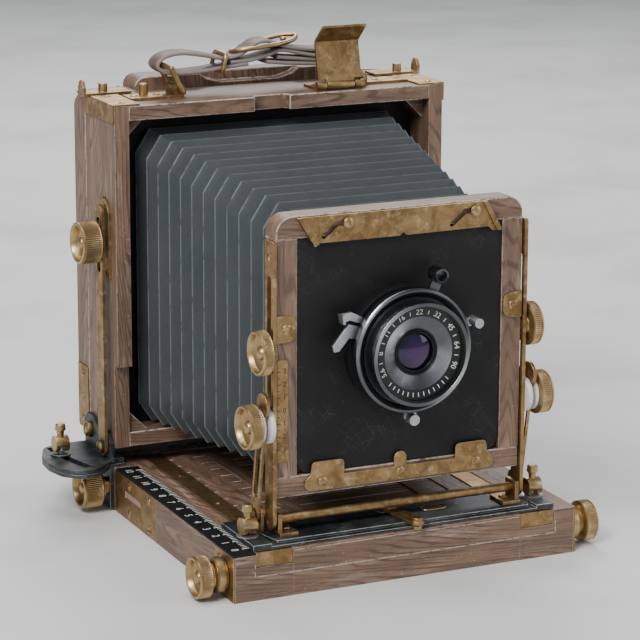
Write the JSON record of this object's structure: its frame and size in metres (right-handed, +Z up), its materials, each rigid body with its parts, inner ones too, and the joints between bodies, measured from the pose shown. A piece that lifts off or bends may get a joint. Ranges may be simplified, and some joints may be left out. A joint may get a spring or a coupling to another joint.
{
  "type": "view camera",
  "caption": "Wooden folding field camera for sheet film on an open bed: brass struts and clamps, leaf shutter lens, tapered bellows, tilting back, focusing rails.",
  "frame": {"origin": "centre of the tripod socket's mouth, on the bottom of the bed", "axes": "+Z up from the table, the lens looks along -Y, +X is to the right of someone facing the lens"},
  "size_m": [0.2438, 0.2252, 0.2416],
  "materials": {
    "wood": "worn walnut, oiled",
    "panel_wood": "worn walnut, oiled",
    "brass": "aged satin brass",
    "knob_brass": "polished aged brass",
    "steel": "brushed",
    "black_plate": "worn black enamel",
    "scale_black": "matte black",
    "nylon": "smooth",
    "board": "matte black",
    "shutter_black": "satin black",
    "chrome": "satin chrome",
    "lens_glass": "coated",
    "screen_glass": "ground",
    "leather": "worn",
    "bellows_cloth": "coated cloth"
  },
  "bodies": {
    "base": {"bed_frame": "wood", "bed_panel": "panel_wood", "tripod_plate": "brass", "focus_scale": "scale_black", "bed_side_plates": "brass"},
    "rails": {"focus_rails": "brass"},
    "focus_drive": {"focus_shaft": "steel", "focus_knobs": "knob_brass"},
    "front_carriage": {"carriage_plate": "black_plate"},
    "front_cam_l": {"front_cam_left": "knob_brass"},
    "front_cam_r": {"front_cam_right": "knob_brass"},
    "front_swing": {"front_swing_plate": "black_plate", "foot_brackets": "brass"},
    "swing_lock": {"swing_lock_lever": "brass"},
    "uprights": {"uprights": "brass", "tie_rod": "brass", "strut_washers": "nylon"},
    "front_struts": {"front_struts": "brass"},
    "strut_knob_l": {"strut_knob_left": "knob_brass"},
    "strut_knob_r": {"strut_knob_right": "knob_brass"},
    "rise_blocks": {"rise_blocks": "brass"},
    "rise_knob_l": {"rise_knob_left": "knob_brass"},
    "rise_knob_r": {"rise_knob_right": "knob_brass"},
    "lens_frame": {"lens_frame_stiles": "wood", "lens_frame_rails": "wood", "lens_fittings": "brass", "lens_board": "board", "shutter_body": "shutter_black", "lens_cells": "shutter_black", "lens_glass": "lens_glass"},
    "speed_ring": {"speed_ring": "chrome"},
    "aperture": {"aperture_lever": "chrome"},
    "cocking": {"cocking_lever": "chrome"},
    "release": {"release_lever": "chrome"},
    "preview": {"preview_lever": "chrome"},
    "lock_plate": {"lock_plate": "brass"},
    "rear_carriage": {"rear_carriage_plate": "black_plate"},
    "rear_lock": {"rear_lock_knob": "knob_brass"},
    "rear_swing": {"rear_swing_plate": "black_plate"},
    "rear_cam_l": {"rear_cam_left": "knob_brass"},
    "rear_cam_r": {"rear_cam_right": "knob_brass"},
    "rear_struts": {"rear_struts": "brass"},
    "rear_box": {"rear_box_sides": "wood", "rear_box_top": "wood", "rear_box_sill": "wood", "bellows_rear_frame": "black_plate", "rear_box_fittings": "brass", "carry_strap": "leather", "bellows": "bellows_cloth"},
    "rear_knob_l": {"rear_strut_knob_left": "knob_brass"},
    "rear_knob_r": {"rear_strut_knob_right": "knob_brass"},
    "latch": {"latch_flap": "brass"},
    "ring_l": {"ring_left": "brass"},
    "ring_r": {"ring_right": "brass"},
    "lock_l": {"slide_lock_left": "knob_brass"},
    "lock_r": {"slide_lock_right": "knob_brass"},
    "back": {"back_frame": "wood", "back_springs": "brass"},
    "screen": {"ground_glass_frame": "wood", "ground_glass": "screen_glass"}
  },
  "joints": [
    {"name": "focus_slide", "type": "slide", "parent": "base", "child": "rails", "axis": [0, 1, 0], "range_m": [-0.05, 0], "deforming": ["bellows"]},
    {"name": "focus_turn", "type": "hinge", "parent": "base", "child": "focus_drive", "pos_m": [0, -0.083, 0.011], "axis": [1, 0, 0], "range_deg": [0, 800]},
    {"name": "standard_slide", "type": "slide", "parent": "rails", "child": "front_carriage", "axis": [0, 1, 0], "range_m": [0, 0.02], "deforming": ["bellows"]},
    {"name": "front_cam_l_turn", "type": "hinge", "parent": "front_carriage", "child": "front_cam_l", "pos_m": [-0.0753, -0.0778, 0.0307], "axis": [1, 0, 0], "range_deg": [-90, 0]},
    {"name": "front_cam_r_turn", "type": "hinge", "parent": "front_carriage", "child": "front_cam_r", "pos_m": [0.0753, -0.0778, 0.0307], "axis": [1, 0, 0], "range_deg": [-90, 0]},
    {"name": "front_swing_turn", "type": "hinge", "parent": "front_carriage", "child": "front_swing", "pos_m": [0, -0.07, 0.025], "axis": [0, 0, 1], "range_deg": [-4, 4], "deforming": ["bellows"]},
    {"name": "swing_lock_turn", "type": "hinge", "parent": "front_swing", "child": "swing_lock", "pos_m": [0.001, -0.073, 0.027], "axis": [0, 0, 1], "range_deg": [-7, 7]},
    {"name": "front_tilt", "type": "hinge", "parent": "front_swing", "child": "uprights", "pos_m": [0, -0.081, 0.033], "axis": [1, 0, 0], "range_deg": [-4, 10], "deforming": ["bellows"]},
    {"name": "front_strut_turn", "type": "hinge", "parent": "front_swing", "child": "front_struts", "pos_m": [0, -0.073, 0.034], "axis": [1, 0, 0], "range_deg": [-4.5, 10.5]},
    {"name": "strut_knob_l_turn", "type": "hinge", "parent": "uprights", "child": "strut_knob_l", "pos_m": [-0.0755, -0.081, 0.079], "axis": [1, 0, 0], "range_deg": [0, 180]},
    {"name": "strut_knob_r_turn", "type": "hinge", "parent": "uprights", "child": "strut_knob_r", "pos_m": [0.0755, -0.081, 0.079], "axis": [1, 0, 0], "range_deg": [0, 180]},
    {"name": "rise", "type": "slide", "parent": "uprights", "child": "rise_blocks", "axis": [0, 0, 1], "range_m": [-0.005, 0.03], "deforming": ["bellows"]},
    {"name": "rise_knob_l_turn", "type": "hinge", "parent": "rise_blocks", "child": "rise_knob_l", "pos_m": [-0.07, -0.081, 0.1135], "axis": [1, 0, 0], "range_deg": [0, 180]},
    {"name": "rise_knob_r_turn", "type": "hinge", "parent": "rise_blocks", "child": "rise_knob_r", "pos_m": [0.07, -0.081, 0.1135], "axis": [1, 0, 0], "range_deg": [0, 180]},
    {"name": "lens_tilt", "type": "hinge", "parent": "rise_blocks", "child": "lens_frame", "pos_m": [0, -0.081, 0.1135], "axis": [1, 0, 0], "range_deg": [-5, 5], "deforming": ["bellows"]},
    {"name": "lens_lock_slide", "type": "slide", "parent": "lens_frame", "child": "lock_plate", "axis": [1, 0, 0], "range_m": [0, 0.0045]},
    {"name": "speed_turn", "type": "hinge", "parent": "lens_frame", "child": "speed_ring", "pos_m": [0, -0.0966, 0.111], "axis": [0, 1, 0], "range_deg": [-60, 60]},
    {"name": "aperture_turn", "type": "hinge", "parent": "lens_frame", "child": "aperture", "pos_m": [0, -0.0915, 0.111], "axis": [0, 1, 0], "range_deg": [-35, 35]},
    {"name": "cocking_turn", "type": "hinge", "parent": "lens_frame", "child": "cocking", "pos_m": [0, -0.0915, 0.111], "axis": [0, 1, 0], "range_deg": [0, 36], "stiffness_Nm_per_rad": 0.01, "springref_deg": -28.65},
    {"name": "release_turn", "type": "hinge", "parent": "lens_frame", "child": "release", "pos_m": [0, -0.0915, 0.111], "axis": [0, 1, 0], "range_deg": [-12, 0], "stiffness_Nm_per_rad": 0.01, "springref_deg": 28.65},
    {"name": "preview_turn", "type": "hinge", "parent": "lens_frame", "child": "preview", "pos_m": [0, -0.0915, 0.111], "axis": [0, 1, 0], "range_deg": [0, 12]},
    {"name": "rear_slide", "type": "slide", "parent": "base", "child": "rear_carriage", "axis": [0, 1, 0], "range_m": [-0.018, 0], "deforming": ["bellows"]},
    {"name": "rear_lock_turn", "type": "hinge", "parent": "rear_carriage", "child": "rear_lock", "pos_m": [-0.1023, 0.062, 0.0123], "axis": [1, 0, 0], "range_deg": [0, 180]},
    {"name": "rear_swing_turn", "type": "hinge", "parent": "rear_carriage", "child": "rear_swing", "pos_m": [0, 0.088, 0.025], "axis": [0, 0, 1], "range_deg": [-5, 5], "deforming": ["bellows"]},
    {"name": "rear_cam_l_turn", "type": "hinge", "parent": "rear_carriage", "child": "rear_cam_l", "pos_m": [-0.1115, 0.077, 0.0328], "axis": [1, 0, 0], "range_deg": [-90, 0]},
    {"name": "rear_cam_r_turn", "type": "hinge", "parent": "rear_carriage", "child": "rear_cam_r", "pos_m": [0.1115, 0.077, 0.0328], "axis": [1, 0, 0], "range_deg": [-90, 0]},
    {"name": "rear_tilt", "type": "hinge", "parent": "rear_swing", "child": "rear_box", "pos_m": [0, 0.085, 0.036], "axis": [1, 0, 0], "range_deg": [-10, 5], "deforming": ["bellows"]},
    {"name": "rear_strut_turn", "type": "hinge", "parent": "rear_swing", "child": "rear_struts", "pos_m": [0, 0.063, 0.033], "axis": [1, 0, 0], "range_deg": [-10.5, 5.5]},
    {"name": "rear_knob_l_turn", "type": "hinge", "parent": "rear_box", "child": "rear_knob_l", "pos_m": [-0.1, 0.063, 0.139], "axis": [1, 0, 0], "range_deg": [0, 180]},
    {"name": "rear_knob_r_turn", "type": "hinge", "parent": "rear_box", "child": "rear_knob_r", "pos_m": [0.1, 0.063, 0.139], "axis": [1, 0, 0], "range_deg": [0, 180]},
    {"name": "latch_turn", "type": "hinge", "parent": "rear_box", "child": "latch", "pos_m": [0.0335, 0.054, 0.2106], "axis": [1, 0, 0], "range_deg": [-4, 95]},
    {"name": "ring_l_turn", "type": "hinge", "parent": "rear_box", "child": "ring_l", "pos_m": [-0.05, 0.069, 0.2116], "axis": [0, 1, 0], "range_deg": [-8, 4]},
    {"name": "ring_r_turn", "type": "hinge", "parent": "rear_box", "child": "ring_r", "pos_m": [0.05, 0.069, 0.2116], "axis": [0, 1, 0], "range_deg": [-4, 8]},
    {"name": "lock_l_slide", "type": "slide", "parent": "rear_box", "child": "lock_l", "axis": [1, 0, 0], "range_m": [-0.005, 0]},
    {"name": "lock_r_slide", "type": "slide", "parent": "rear_box", "child": "lock_r", "axis": [1, 0, 0], "range_m": [0, 0.005]},
    {"name": "back_slide", "type": "slide", "parent": "rear_box", "child": "back", "axis": [0, 1, 0], "range_m": [0, 0.012]},
    {"name": "screen_slide", "type": "slide", "parent": "back", "child": "screen", "axis": [0, 1, 0], "range_m": [0, 0.008], "stiffness_N_per_m": 500, "springref_m": -0.004, "deforming": ["back_springs"]}
  ],
  "couplings": [
    {"joint": "focus_turn", "follows": "focus_slide", "rad_per_m": -232.56},
    {"joint": "front_strut_turn", "follows": "front_tilt", "ratio": 0.992},
    {"joint": "rear_strut_turn", "follows": "rear_tilt", "ratio": 0.965}
  ]
}
